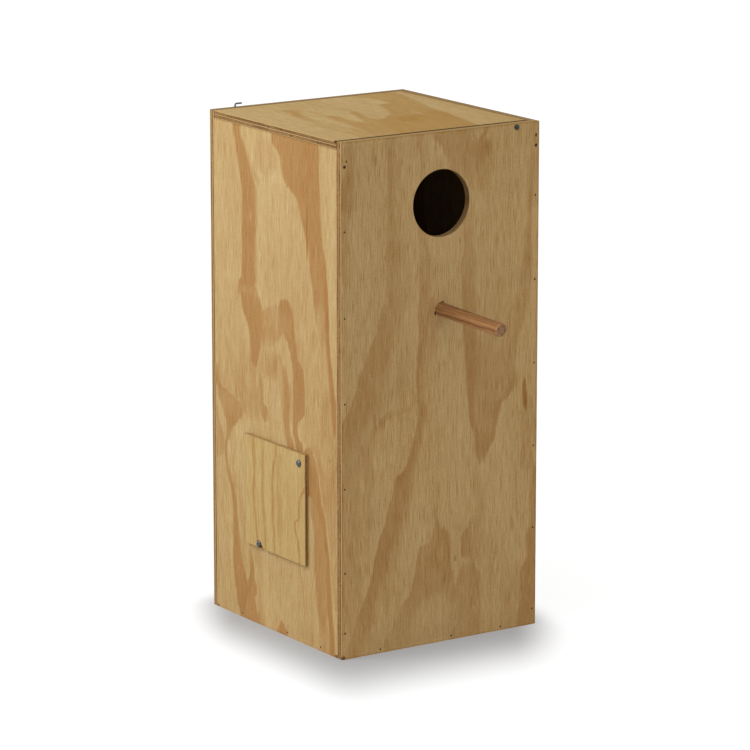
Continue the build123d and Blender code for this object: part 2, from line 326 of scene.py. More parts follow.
def ply_finish(
    name, node, axes, bands, pale, late, flecks=0.6, core=0.9, cross=2.7, middle=None, shift=0.0, brads=(),
    marks=(), hole=None, top=None,
):
    """The finish of one panel. Axes say which way its width, grain and thickness run, from which face.
    A sawn end that shows at the top may have a tone of its own."""
    stain_and_shade_tone, mark_from, mark_to = tint(58, 30, 15), 1.5, 3.0
    top_from, top_to, top_strength = 0.1, 0.7, 0.8
    rim_from, rim_to, rim_shade = 0.2, 0.8, 0.8
    inner_from, inner_to, inner_shade = 0.4, 0.1, 0.72
    relief_strength, relief_height, shine = 0.5, 0.0003, 0.04
    low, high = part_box(node)
    material, mix, shader, place, normal = new_finish(name)
    point = mix.parts(place)
    facing = mix.parts(normal)
    marks = list(marks)
    places, spans, turns, seats = [], [], [], []
    for axis in axes:
        i = "xyz".index(axis[1])
        way = 1 if axis[0] == "+" else -1
        start = 1000 * (low[i] if way > 0 else high[i])
        places.append(mix.line(point[i], way, -way * start))
        spans.append((high[i] - low[i]) * 1000)
        turns.append(mix.calc("ABSOLUTE", facing[i]))
        seats.append([way * (1000 * head[i] - start) for head in brads])
    across, along, through = places
    width, length, thickness = spans
    for seat_across, seat_along, head in zip(seats[0], seats[1], brads):
        size = deep_mark if head.z > deep_set_from else brad_mark
        marks.append((seat_across, seat_along, size, brad_tallness * size, brad_darkness))
    sheet = mix.use(ply_sheet, {
        "Across": across, "Along": mix.plus(along, shift), "Through": through, "End On": turns[1],
        "Flat On": turns[2], "Latewood": draw_figure(mix, across, along, length, bands), "Flecks": flecks,
        "Width": width, "Length": length, "Middle": middle or thickness / 2, "Core": core, "Cross": cross,
        "Pale": pale, "Late": late,
    })
    colour = sheet["Color"]
    if marks:
        # Stains, chips, brad holes and painted shadows: the marks darken the face towards one dark tone.
        near_face = mix.fade(through, mark_from, mark_to, 1.0, 0.0)
        stain_and_shade = mix.times(draw_marks(mix, across, along, marks), near_face)
        colour = mix.blend(stain_and_shade, colour, stain_and_shade_tone)
    if top:
        end = length if axes[1] == "+z" else 0.0
        from_top = mix.calc("ABSOLUTE", mix.minus(along, end))
        colour = mix.blend(mix.fade(from_top, top_from, top_to, top_strength, 0.0), colour, top)
    # Painted shade: the entrance's cut wall is darkened, fading out just past its rim, as a recess in shade.
    if hole:
        hole_across, hole_along, radius = hole
        far = mix.distance(mix.minus(across, hole_across), mix.minus(along, hole_along))
        colour = mix.scale(colour, mix.fade(far, radius + rim_from, radius + rim_to, rim_shade, 1.0))
    # Painted shade: each panel's inner face is darkened, as the inside of the box lies in shade.
    painted_inside_shade = mix.fade(through, thickness - inner_from, thickness - inner_to, 1.0, inner_shade)
    colour = mix.scale(colour, painted_inside_shade)
    relief = {"Height": sheet["Height"], "Strength": relief_strength, "Distance": relief_height}
    bump = mix.put("Bump", relief)
    mix.give(shader, {"Base Color": colour, "Roughness": sheet["Roughness"], "Normal": bump})
    shader.inputs["Specular IOR Level"].default_value = shine
    return material


def shape_of(mesh, gap=1e-6):
    """A mesh's shape, for cutting, with its doubled corner points joined."""
    shape = bmesh.new()
    shape.from_mesh(mesh)
    bmesh.ops.remove_doubles(shape, verts=shape.verts, dist=gap)
    return shape


def keep_shape(shape, mesh, sharp_from):
    """Puts a finished shape into its mesh, smooth but for corners sharper than an angle in degrees."""
    shape.to_mesh(mesh)
    shape.free()
    mesh.shade_smooth()
    mesh.set_sharp_from_angle(angle=math.radians(sharp_from))


def cut_panel(name, node, body, finish, arris=0.0004, brads=()):
    """A panel of the shape of its node, its sharp corners eased, with a dent round each brad's head."""
    shape = shape_of(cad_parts[node].data)
    flat, corner = math.radians(1), math.radians(40)
    bmesh.ops.dissolve_limit(shape, angle_limit=flat, verts=shape.verts, edges=shape.edges)

    def ease(edges, width):
        bmesh.ops.bevel(
            shape, geom=edges, offset=width, offset_type="OFFSET", segments=2, profile=0.5, affect="EDGES",
            clamp_overlap=True,
        )

    sharp = [edge for edge in shape.edges if edge.calc_face_angle(0) > corner]
    for head in brads:
        rim = [
            edge for edge in sharp
            if edge.is_valid and max((vert.co - head).length for vert in edge.verts) < brad_rim_reach
        ]
        sharp = [edge for edge in sharp if edge not in rim]
        ease(rim, deep_dent if head.z > deep_set_from else brad_dent)
    ease([edge for edge in sharp if edge.is_valid], arris)
    mesh = bpy.data.meshes.new(name)
    keep_shape(shape, mesh, sharp_from=12)
    mesh.materials.clear()
    mesh.materials.append(finish)
    piece = set_out(name, mesh)
    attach(piece, body)
    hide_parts(node)


ply_pale = tint(191, 161, 113)
ply_late = tint(168, 126, 78)
plain_bands = [
    ((3, 9), [(0, 40, 58, 0.5), (90, 52, 76, 0.7), (180, 60, 92, 0.5), (265, 66, 88, 0.4)]),
    ((4, 4), [(0, 150, 196, 0.6), (60, 158, 190, 0.7), (120, 168, 182, 0.6), (150, 174, 178, 0.5)]),
]
floor_finish = ply_finish("floor ply", "floor_panel", ("+x", "+y", "-z"), plain_bands, ply_pale, ply_late)
cut_panel("floor_sheet", "floor_panel", "box", floor_finish)


# Left side: plywood that butts against the front and back sheets, sawn shorter than they are by the lid, with
# a hand-sized opening behind the door. Its veneer has the boldest figure of the box. Three brads through its
# foot hold the floor's edge.
def solids_of(node):
    """The separate solids of a node, each as its lowest and highest corner."""
    shape = shape_of(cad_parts[node].data)
    waiting = set(shape.verts)
    boxes = []
    while waiting:
        found = [waiting.pop()]
        for vert in found:
            near = {edge.other_vert(vert) for edge in vert.link_edges} & waiting
            waiting -= near
            found += near
        corners = list(zip(*(vert.co for vert in found)))
        boxes.append((Vector(map(min, corners)), Vector(map(max, corners))))
    shape.free()
    return sorted(boxes, key=lambda box: tuple(box[0]))


def outer_ends(node):
    """For each pin, brad or screw of a node: the middle of its outer end, and the way that end faces."""
    found = []
    for low, high in solids_of(node):
        middle, size = (low + high) / 2, high - low
        i = max(range(3), key=lambda axis: size[axis])
        end, way = middle.copy(), Vector((0.0, 0.0, 0.0))
        end[i] = max(low[i], high[i], key=abs)
        way[i] = math.copysign(1.0, end[i])
        found.append((end, way))
    return found


def brads_in(*nodes):
    """The heads of all the brads of some nodes."""
    return [end for node in nodes for end, _ in outer_ends(node)]


left_bands = [
    ((2, 6), [(591, 41, 60, 1), (575, 44, 67, 1), (560, 47, 76, 1), (545, 53, 83, 1), (530, 56, 89, 1),
              (515, 59, 95, 1), (490, 59, 95, 1), (460, 59, 93, 1), (430, 58, 93, 1), (410, 56, 93, 1),
              (402, 50, 88, 0.9)]),
    ((2, 3), [(404, 52, 92, 0.7), (396, 49, 98, 0.8), (385, 56, 103, 1), (375, 59, 106, 1), (366, 66, 106, 1),
              (350, 73, 104, 1), (335, 76, 102, 1), (322, 77, 97, 1), (312, 82, 92, 1)]),
    ((3, 3), [(388, 118, 146, 0.6), (378, 104, 150, 0.72), (366, 98, 152, 0.72), (356, 98, 146, 0.74),
              (346, 96, 136, 0.5), (338, 96, 122, 0.25)]),
    ((3, 2), [(398, 144, 164, 1), (390, 136, 170, 1), (376, 138, 173, 0.95), (362, 146, 175, 1),
              (354, 154, 176, 1)]),
    ((2, 2), [(356, 158, 177, 1), (342, 162, 180, 1), (330, 165, 183, 1), (327, 166, 191, 1),
              (300, 168, 195, 1.1), (278, 168, 196, 1.1), (266, 167, 186, 1.05), (257, 167, 179, 1.05),
              (240, 171, 186, 1), (222, 179, 191, 1)]),
    ((12, 12), [(530, 110, 190, 0.08), (480, 105, 200, 0.16), (410, 98, 215, 0.24), (350, 118, 218, 0.26),
                (300, 125, 215, 0.36), (262, 132, 208, 0.36)]),
    ((4, 3), [(322, 140, 158, 0.55), (310, 144, 161, 0.85), (295, 146, 164, 1), (280, 147, 165, 1),
              (262, 145, 163, 1), (248, 147, 165, 0.85), (235, 153, 171, 0.9), (222, 159, 174, 0.95)]),
    ((6, 5), [(334, 98, 160, 0.25), (318, 90, 154, 0.45), (306, 92, 148, 0.4)]),
    ((4, 4), [(306, 93, 106, 0.5), (285, 94, 106, 0.6), (268, 95, 108, 0.65), (254, 98, 122, 0.65)]),
    ((10, 8), [(335, 48, 100, 0.2), (300, 46, 100, 0.42), (270, 48, 102, 0.48), (250, 56, 100, 0.35)]),
    ((8, 10), [(400, 0, 58, 0.12), (350, 0, 64, 0.15), (310, 0, 64, 0.3), (285, 4, 62, 0.4),
               (268, 20, 64, 0.44)]),
    ((6, 10), [(258, -8, 46, 0.1), (200, -8, 38, 0.2), (120, -8, 36, 0.22), (40, -8, 40, 0.22),
               (0, -8, 42, 0.2)]),
    ((8, 8), [(370, 196, 246, 0.26), (320, 192, 248, 0.38), (285, 190, 252, 0.46), (258, 184, 256, 0.5),
              (236, 196, 258, 0.5)]),
    ((4, 3), [(591, 123, 226, 1), (576, 130, 227, 1), (566, 140, 227, 1), (546, 146, 228, 1),
              (536, 153, 229, 1), (528, 168, 229, 1), (520, 178, 230, 1), (500, 185, 231, 1),
              (484, 194, 232, 1), (465, 199, 234, 0.95), (445, 204, 239, 0.95), (425, 208, 242, 0.9),
              (405, 212, 244, 0.7), (385, 217, 244, 0.5), (360, 224, 247, 0.3)]),
    ((4, 2), [(470, 228, 236, 0.7), (450, 230, 241, 1.1), (420, 231, 244, 1.15), (395, 233, 246, 1.15),
              (365, 237, 248, 1.15), (335, 241, 253, 1.15), (305, 244, 258, 1.1), (280, 247, 261, 1),
              (262, 248, 260, 0.8)]),
    ((1, 1), [(522, 198, 202, 1), (495, 197.5, 203, 1.4), (458, 198, 202, 1)]),
    ((2, 4), [(300, -4, 3, 0.9), (288, -4, 8, 1), (276, -2, 11, 1), (269, 2, 38, 0.9), (260, 3, 55, 0.78),
              (252, 11, 62, 0.78), (244, 14, 59, 0.85), (236, 18, 50, 0.95), (226, 22, 37, 0.9),
              (212, 20, 31, 0.9), (198, 17, 26, 0.9), (184, 19, 29, 0.9), (170, 21, 35, 0.9),
              (155, 29, 40, 1), (140, 32, 47, 1), (115, 35, 50, 1), (90, 35, 54, 1), (60, 36, 63, 1),
              (42, 38, 71, 1), (32, 40, 85, 1), (10, 46, 92, 1), (0, 50, 97, 1)]),
    ((2, 2), [(84, 70, 80, 0.8), (70, 72, 83, 0.95), (50, 68, 86, 0.95), (36, 65, 90, 0.95)]),
    ((4, 4), [(52, 88, 98, 0.4), (25, 90, 104, 0.5), (0, 86, 108, 0.55)]),
    ((3, 5), [(246, -6, 5, 0.6), (228, -6, 11, 0.7), (212, -6, 20, 0.65), (198, -6, 22, 0.65),
              (187, -6, 12, 0.5)]),
    ((3, 2), [(234, 196, 210, 0.9), (222, 190, 219, 1), (200, 192, 225, 1.1), (185, 196, 228, 1.1),
              (172, 212, 232, 1.1), (155, 222, 239, 1.1), (140, 228, 241, 1.1), (110, 233, 246, 1.1),
              (80, 236, 249, 1.1), (45, 239, 252, 1.1), (0, 243, 257, 1.1)]),
    ((5, 4), [(176, 203, 222, 0.8), (150, 208, 232, 0.95), (120, 210, 238, 0.95), (90, 211, 241, 0.9),
              (60, 214, 243, 0.85), (25, 219, 246, 0.75), (0, 221, 248, 0.65)]),
    ((6, 3), [(262, 206, 262, 0.2), (230, 214, 262, 0.58), (190, 224, 262, 0.66), (150, 236, 262, 0.6),
              (110, 244, 262, 0.5), (60, 250, 262, 0.4)]),
    ((5, 10), [(205, 26, 48, 0.15), (180, 28, 54, 0.34), (150, 36, 66, 0.34), (115, 46, 80, 0.32),
               (80, 52, 108, 0.28), (50, 60, 112, 0.2), (20, 86, 116, 0.2)]),
    ((8, 10), [(588, 0, 40, 0.12), (540, 10, 55, 0.2), (470, 10, 60, 0.22), (420, 4, 60, 0.2)]),
    ((3, 2), [(14, 137, 147, 1), (8, 134, 154, 1.1), (0, 131, 156, 1.1)]),
    ((10, 10), [(584, 90, 132, 0.15), (562, 86, 136, 0.33), (544, 92, 132, 0.25)]),
    ((2, 2), [(548, 82, 88, 0.3), (535, 88, 95, 0.45), (524, 95, 99, 0.3)]),
    ((3, 3), [(80, 183, 191, 0.35), (60, 186, 194, 0.45), (35, 187, 197, 0.4)]),
    ((14, 14), [(92, 104, 220, 0.1), (60, 100, 226, 0.22), (25, 104, 232, 0.25), (0, 104, 236, 0.3)]),
    ((2, 2), [(396, 53, 57, -0.4), (387, 52, 59, -0.9), (378, 54, 60, -0.4)]),
    ((2, 2), [(494, 79, 82, -0.3), (487, 77, 83, -0.7), (480, 79, 82, -0.3)]),
    ((4, 4), [(384, 150, 158, -0.2), (372, 147, 157, -0.4), (358, 148, 156, -0.3)]),
]
left_marks = [
    (122, 552, 3.5, 5.0, 0.1), (107, 535, 1.0, 5.0, 0.25), (99, 452, 1.0, 6.0, 0.2), (163, 75, 1.8, 4.0, 0.2),
    (247, 230, 1.4, 3.5, 0.35), (260, 1.5, 5.0, 3.0, 0.7), (1, 1, 3.5, 3.0, 0.7),
]
left_pale = tint(188, 159, 110)
left_late = tint(168, 127, 78)
left_brads = brads_in("left_floor_brads")
left_finish = ply_finish(
    "left side ply", "left_side", ("-y", "+z", "+x"), left_bands, left_pale, left_late, brads=left_brads,
    marks=left_marks,
)
cut_panel("left_sheet", "left_side", "box", left_finish, brads=left_brads)


# Right side: plywood of full height, because the lid's tail turns down inside it. It has no openings, and is
# nailed to the floor, the front and the back like the left one. Its sawn top edge is drawn in a darker tone.
right_top = tint(152, 124, 82)
right_shift = 700.0
right_brads = brads_in("right_floor_brads")
right_finish = ply_finish(
    "right side ply", "right_side", ("+y", "-z", "-x"), left_bands[2:], ply_pale, ply_late, shift=right_shift,
    brads=right_brads, top=right_top,
)
cut_panel("right_sheet", "right_side", "box", right_finish, brads=right_brads)


# Front: plywood nailed over the edges of both sides and the floor, which rises to the top of the lid. The
# entrance is cut with a hole saw, and the perch hole under it is drilled at a slight droop, with a little
# tear-out. Calm veneer with tall flames.
front_bands = [
    ((2, 16), [(600, 57, 80, 0.55), (575, 60, 84, 0.65), (555, 62, 84, 0.8), (530, 61, 82, 0.7),
               (490, 60, 84, 0.55), (455, 60, 90, 0.5), (425, 59, 94, 0.48), (405, 53, 90, 0.55),
               (380, 47, 84, 0.68), (360, 38, 78, 0.8), (340, 28, 72, 0.8), (320, 20, 64, 0.85),
               (300, 12, 58, 0.95), (280, 2, 52, 0.95), (262, -6, 36, 0.95), (240, -10, 30, 0.75),
               (215, -10, 24, 0.7), (190, -10, 18, 0.8), (160, -12, 14, 0.7), (130, -14, 8, 0.6)]),
    ((8, 14), [(270, -10, 60, 0.3), (230, -10, 50, 0.45), (190, -10, 52, 0.5), (150, -10, 46, 0.5),
               (115, -10, 36, 0.6), (85, -10, 34, 0.6), (65, -10, 30, 0.5), (40, -10, 24, 0.4),
               (15, -10, 20, 0.3)]),
    ((2, 10), [(600, 100, 118, 0.45), (585, 103, 120, 0.55), (560, 106, 120, 0.6), (500, 102, 120, 0.5),
               (480, 103, 122, 0.58), (455, 104, 126, 0.56), (430, 104, 128, 0.58), (405, 105, 124, 0.72),
               (380, 105, 128, 0.8), (355, 104, 122, 0.9), (330, 102, 119, 1.05), (305, 101, 116, 1.05),
               (290, 102, 117, 1), (276, 104, 121, 1.15), (262, 101, 117, 1), (250, 98, 115, 0.95),
               (236, 94, 111, 1), (220, 89, 107, 1.05), (210, 82, 104, 1.1), (204, 71, 103, 1.1),
               (190, 69, 99, 1), (170, 62, 93, 1), (150, 57, 89, 1.05), (130, 48, 82, 1.05),
               (110, 43, 72, 1.15), (90, 39, 64, 1.05), (70, 32, 58, 0.9), (50, 21, 52, 0.85),
               (30, 14, 44, 0.75), (10, 3, 36, 0.65), (0, -2, 32, 0.6)]),
    ((8, 10), [(165, 66, 96, 0.3), (130, 56, 88, 0.4), (95, 52, 82, 0.4), (60, 44, 70, 0.3)]),
    ((5, 5), [(294, 78, 96, 0.2), (284, 62, 100, 0.35), (277, 50, 70, 0.5), (268, 42, 59, 0.5),
              (256, 34, 50, 0.4)]),
    ((10, 10), [(350, 60, 100, 0.15), (315, 56, 100, 0.25), (292, 58, 100, 0.3)]),
    ((2, 4), [(405, 118, 130, 0.7), (385, 120, 131, 0.8), (360, 121, 130, 0.6), (335, 121, 127, 0.35)]),
    ((2, 7), [(500, 170, 184, 0.4), (480, 166, 184, 0.5), (465, 169, 186, 0.55), (445, 163, 186, 0.65),
              (420, 163, 186, 0.7), (395, 165, 188, 0.75), (370, 166, 190, 0.85), (345, 167, 191, 0.95),
              (320, 169, 188, 1.1), (295, 171, 187, 1.25), (270, 173, 188, 1.2), (255, 176, 191, 1.15),
              (240, 181, 197, 1), (222, 183, 203, 1.1), (210, 187, 200, 0.8), (202, 189, 197, 0.3)]),
    ((6, 3), [(400, 170, 240, 0.15), (370, 172, 236, 0.25), (345, 174, 240, 0.5), (320, 176, 241, 0.65),
              (300, 176, 240, 0.7), (290, 177, 238, 0.75), (280, 178, 228, 0.8), (272, 179, 220, 0.9),
              (255, 182, 216, 0.9), (240, 185, 212, 0.95), (225, 187, 207, 1.1), (212, 190, 201, 1.15),
              (204, 194, 199, 1)]),
    ((6, 2), [(560, 254, 268, 0.5), (535, 254, 266, 0.65), (505, 254, 264, 0.7), (480, 250, 263, 0.7),
              (460, 248, 264, 0.75), (440, 245, 264, 0.75), (420, 242, 263, 0.6), (400, 240, 260, 0.6),
              (380, 238, 257, 0.6), (360, 234, 251, 0.6), (340, 226, 244, 0.65), (320, 219, 242, 0.7),
              (300, 217, 241, 0.75), (290, 218, 239, 0.85), (280, 212, 230, 1), (271, 204, 221, 1.1),
              (258, 204, 218, 1.15), (240, 200, 214, 1.1), (225, 198, 208, 1.1)]),
    ((1, 1), [(297, 252, 256, 1.2), (285, 250, 257, 1.5), (270, 250, 258, 1.6), (262, 253, 258, 1.2)]),
    ((6, 4), [(280, 262, 274, 0.2), (255, 246, 274, 0.35), (225, 246, 274, 0.35), (195, 244, 274, 0.4)]),
    ((2, 3), [(150, 130, 134, 0.8), (140, 127, 138, 0.85), (130, 124, 146, 0.85), (121, 119, 149, 0.8),
              (116, 105, 151, 0.8), (104, 103, 152, 0.8), (90, 101, 152, 0.75), (75, 98, 155, 0.7),
              (62, 93, 162, 0.65), (54, 85, 170, 0.6), (42, 77, 176, 0.5), (20, 65, 184, 0.4),
              (0, 57, 190, 0.35)]),
    ((2, 6), [(116, 104, 116, 1), (95, 101, 114, 1), (75, 97, 110, 0.9), (60, 91, 104, 0.75),
              (48, 80, 94, 0.7)]),
    ((6, 3), [(132, 134, 147, 0.95), (110, 138, 152, 1), (90, 138, 153, 1), (72, 138, 156, 0.8)]),
    ((10, 10), [(58, 116, 146, -0.4), (42, 100, 152, -0.95), (20, 86, 152, -1), (0, 82, 152, -1)]),
    ((2, 3), [(140, 176, 182, 0.8), (128, 171, 182, 0.9), (115, 163, 182, 0.85), (104, 163, 182, 0.95),
              (96, 167, 182, 0.6)]),
    ((3, 2), [(86, 163, 184, 0.5), (74, 160, 193, 0.75), (58, 157, 194, 0.65), (35, 157, 194, 0.55),
              (15, 155, 194, 0.6), (0, 149, 194, 0.6)]),
    ((3, 8), [(205, 182, 196, 0.36), (180, 181, 198, 0.4), (150, 181, 200, 0.42), (120, 180, 198, 0.42),
              (90, 178, 196, 0.35)]),
    ((2, 2), [(122, 152, 154, -0.6), (108, 151, 161, -0.9), (95, 150, 166, -1), (82, 153, 163, -0.9),
              (72, 156, 158, -0.6)]),
    ((3, 2), [(195, 264, 278, 0.6), (160, 263, 278, 0.85), (125, 262, 278, 0.95), (108, 257, 278, 1.05),
              (80, 256, 278, 1.1), (60, 247, 278, 0.95), (40, 248, 278, 1), (20, 245, 278, 1),
              (0, 243, 278, 0.95)]),
    ((8, 4), [(80, 232, 250, 0.2), (55, 226, 250, 0.45), (25, 222, 248, 0.5), (0, 220, 246, 0.5)]),
    ((2, 2), [(200, 241, 246, 0.3), (165, 240, 247, 0.4), (130, 242, 248, 0.3)]),
    ((3, 6), [(600, 122, 182, 0.7), (590, 129, 180, 0.7), (580, 136, 205, 0.7), (568, 141, 206, 0.7),
              (555, 146, 205, 0.6), (545, 168, 204, 0.4), (530, 174, 198, 0.25)]),
    ((2, 2), [(600, 181, 197, -0.8), (590, 184, 193, -0.7), (583, 187, 189, -0.5)]),
    ((2, 2), [(600, 177, 183, 0.8), (588, 180, 186, 0.9), (579, 183, 190, 0.9)]),
    ((2, 2), [(600, 194, 201, 0.8), (588, 189, 197, 0.95), (580, 186, 193, 0.9)]),
    ((5, 5), [(584, 170, 205, 0.5), (574, 170, 207, 0.95), (564, 174, 205, 0.6)]),
    ((3, 5), [(600, 4, 20, 0.5), (575, 4, 20, 0.55), (558, 0, 20, 0.8), (545, -4, 20, 0.85),
              (530, -4, 20, 0.9), (515, -4, 16, 0.6), (500, -4, 12, 0.5), (470, -4, 14, 0.35),
              (440, -4, 12, 0.25)]),
    ((4, 4), [(432, 44, 52, 0.2), (415, 37, 46, 0.35), (395, 28, 38, 0.3), (375, 20, 28, 0.2)]),
    ((3, 2), [(600, 256, 276, 0.45), (540, 259, 276, 0.4), (505, 260, 276, 0.3)]),
]
front_pale = tint(190, 156, 105)
front_late = tint(173, 133, 83)
front_top = tint(168, 137, 88)
entrance_across, entrance_up, entrance_radius = 136, 518, 39
entrance = (entrance_across, entrance_up, entrance_radius)
# The last front mark is a painted shadow on the front below the perch.
front_marks = [
    (46, 575, 2.5, 9.0, 0.3), (34, 570, 1.5, 4.0, 0.12), (82, 570, 1.8, 6.0, 0.22), (112, 563, 1.6, 5.5, 0.2),
    (59, 463, 1.2, 4.0, 0.25), (162, 472, 1.6, 4.0, 0.25), (157, 97, 1.5, 4.5, 0.4),
    (138, 403, 2.4, 1.6, 0.9), (128, 391, 1.6, 3.2, 0.9), (7.0, 578, 1.2, 2.6, 0.85),
    (267.5, 584, 1.5, 3.2, 1.0), (2, 2, 4.0, 3.0, 0.7), (134, 378, 8.0, 10.0, 0.13),
]
front_brads = brads_in("front_left_brads", "front_right_brads", "front_floor_brads")
front_finish = ply_finish(
    "front ply", "front_panel", ("+x", "+z", "+y"), front_bands, front_pale, front_late, flecks=1.0, core=0.6,
    cross=3.8, middle=5.5, brads=front_brads, marks=front_marks, hole=entrance, top=front_top,
)
cut_panel("front_sheet", "front_panel", "box", front_finish, brads=front_brads)


# Ladder: galvanised wire mesh welded in squares, stapled inside the front so that the birds can climb out.
# The wires are straight, each rung sunk a little into the uprights; a staple is a bow of thinner wire.
def make_wire_bender():
    """Round wire laid along drawn paths, bent to a radius at each corner, its ends cut square."""
    inputs = {"Path": "Geometry", "Wire": "Float", "Bend": "Float", "Sides": "Int", "Finish": "Material"}
    jig, given, out = new_group("bent wire", inputs, {"Geometry": "Geometry"}, "GeometryNodeTree")
    path = jig.put("GeometryNodeMeshToCurve", {"Mesh": given["Path"]})
    rounded = {"Curve": path, "Count": 6, "Radius": given["Bend"]}
    path = jig.put("GeometryNodeFilletCurve", rounded, mode="POLY")
    radius = jig.times(given["Wire"], 0.5)
    sizes = {"Resolution": given["Sides"], "Radius": radius}
    ring = jig.put("GeometryNodeCurvePrimitiveCircle", sizes, mode="RADIUS")
    wire = jig.put("GeometryNodeCurveToMesh", {"Curve": path, "Profile Curve": ring, "Fill Caps": True})
    wire = jig.put("GeometryNodeRealizeInstances", {"Geometry": wire})
    wire = jig.put("GeometryNodeSetMaterial", {"Geometry": wire, "Material": given["Finish"]})
    jig.tree.links.new(wire, out.inputs["Geometry"])
    return jig.tree


wire_bender = make_wire_bender()


def run_jig(name, jig, start, values):
    """Runs a geometry tree on a starting mesh and keeps the result as a plain mesh in a new piece."""
    piece = set_out(name, start)
    modifier = piece.modifiers.new("jig", "NODES")
    modifier.node_group = jig
    for socket in jig.interface.items_tree:
        if socket.in_out == "INPUT" and socket.name in values:
            modifier[socket.identifier] = values[socket.name]
    made = piece.evaluated_get(bpy.context.evaluated_depsgraph_get())
    mesh = bpy.data.meshes.new_from_object(made)
    piece.modifiers.clear()
    piece.data = mesh
    mesh.name = name
    shape = shape_of(mesh, gap=1e-7)
    bmesh.ops.recalc_face_normals(shape, faces=shape.faces)
    keep_shape(shape, mesh, sharp_from=35)
    return piece


def bend_wire(name, runs, wire, bend, sides, finish):
    """One piece of wire, or several alike, each along a run of points."""
    points, edges = [], []
    for run in runs:
        edges += [(len(points) + i, len(points) + i + 1) for i in range(len(run) - 1)]
        points += run
    path = bpy.data.meshes.new(name + " path")
    path.from_pydata(points, edges, [])
    return run_jig(name, wire_bender, path, {"Wire": wire, "Bend": bend, "Sides": sides, "Finish": finish})


def make_plating():
    """Metal skin with cloudy patches and fine grit: bright and dull places, rougher where dull."""
    inputs = {"Place": "Vector", "Patch": "Float", "Bright": "Color", "Dull": "Color", "Roughness": "Float"}
    mix, given, out = new_group("metal skin", inputs, surface)
    cloud = mix.mottle(mix.scale(given["Place"], given["Patch"]), detail=4)
    grit = mix.mottle(given["Place"], 5.0, detail=3)
    dull = mix.fade(cloud, 0.35, 0.65)
    colour = mix.blend(dull, given["Bright"], given["Dull"])
    rough = mix.plus(given["Roughness"], mix.times(dull, 0.14))
    rough = mix.plus(rough, mix.line(grit, 0.16, -0.08))
    height = mix.line(cloud, 0.4, mix.times(grit, 0.6))
    mix.give(out, {"Color": colour, "Roughness": rough, "Height": height})
    return mix.tree


metal_skin = make_plating()


def metal_finish(name, bright, dull, roughness, patch=0.5):
    """The finish of one sort of metal, between a bright and a dull tone."""
    material, mix, shader, place, _ = new_finish(name)
    look = {"Place": place, "Patch": patch, "Bright": bright, "Dull": dull, "Roughness": roughness}
    skin = mix.use(metal_skin, look)
    bump = mix.put("Bump", {"Height": skin["Height"], "Strength": 0.35, "Distance": 0.0001})
    mix.give(shader, {"Base Color": skin["Color"], "Roughness": skin["Roughness"], "Normal": bump})
    shader.inputs["Metallic"].default_value = 1.0
    return material


ladder_wire, ladder_pitch, ladder_tip = 0.0016, 0.025, 0.005
no_bend, wire_sides = 0.0, 12
ladder_low, ladder_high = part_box("ladder_mesh")
upright_y, rung_y = ladder_low.y + ladder_wire / 2, ladder_high.y - ladder_wire / 2
upright_count = round((ladder_high.x - ladder_low.x - 2 * ladder_tip) / ladder_pitch) + 1
rung_count = round((ladder_high.z - ladder_low.z - 2 * ladder_tip) / ladder_pitch) + 1
ladder_runs = []
for i in range(upright_count):
    x = ladder_low.x + ladder_tip + i * ladder_pitch
    ladder_runs.append([(x, upright_y, ladder_low.z), (x, upright_y, ladder_high.z)])
for i in range(rung_count):
    z = ladder_low.z + ladder_tip + i * ladder_pitch
    ladder_runs.append([(ladder_low.x, rung_y, z), (ladder_high.x, rung_y, z)])
galvanised = metal_finish(
    "galvanised wire", bright=tint(150, 153, 154), dull=tint(104, 107, 108), roughness=0.42, patch=0.3
)
ladder = bend_wire("ladder_wires", ladder_runs, ladder_wire, no_bend, wire_sides, galvanised)
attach(ladder, "box")
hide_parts("ladder_mesh")

staple_wire, staple_bend, staple_sides = 0.0012, 0.0008, 10
staple_runs = []
for low, high in solids_of("ladder_staples"):
    left_leg, right_leg = low.x + staple_wire / 2, high.x - staple_wire / 2
    crown, z = high.y - staple_wire / 2, (low.z + high.z) / 2
    stops = ((left_leg, low.y), (left_leg, crown), (right_leg, crown), (right_leg, low.y))
    staple_runs.append([(x, y, z) for x, y in stops])
staple_steel = metal_finish(
    "staple steel", bright=tint(170, 172, 170), dull=tint(118, 118, 114), roughness=0.34
)
staples = bend_wire("ladder_bows", staple_runs, staple_wire, staple_bend, staple_sides, staple_steel)
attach(staples, "box")
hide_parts("ladder_staples")


# Perch: a dowel of red-brown hardwood, a push fit in the front's hole. Its outer end is sawn off and left
# rough, paler than the long grain, with its edge knocked off and a chip out of the lower rim.
perch_body = shape_of(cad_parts["perch_dowel"].data)
perch_points = [vert.co.copy() for vert in perch_body.verts]
perch_body.free()
perch_low, perch_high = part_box("perch_dowel")
halfway = (perch_low.y + perch_high.y) / 2
inner_ring = [point for point in perch_points if point.y > halfway]
outer_ring = [point for point in perch_points if point.y < halfway]
perch_end = sum(inner_ring, Vector()) / len(inner_ring)
perch_way = (sum(outer_ring, Vector()) / len(outer_ring) - perch_end).normalized()
perch_radius = max((point - perch_end).cross(perch_way).length for point in perch_points)
perch_length = max((point - perch_end).dot(perch_way) for point in perch_points)
perch_side = perch_way.cross(Vector((0.0, 0.0, 1.0))).normalized()
perch_up = perch_side.cross(perch_way)
perch_around, perch_steps = 64, 48
worn_edge = 0.003
lumps, lump_turns, lump_run = 0.012, 2.2, 9
saw_marks, saw_grain = 0.00025, 6
chip_turn, chip_half_width, chip_from = 3.9, 0.35, 0.7
chip_back, chip_in = 0.0012, 0.0006

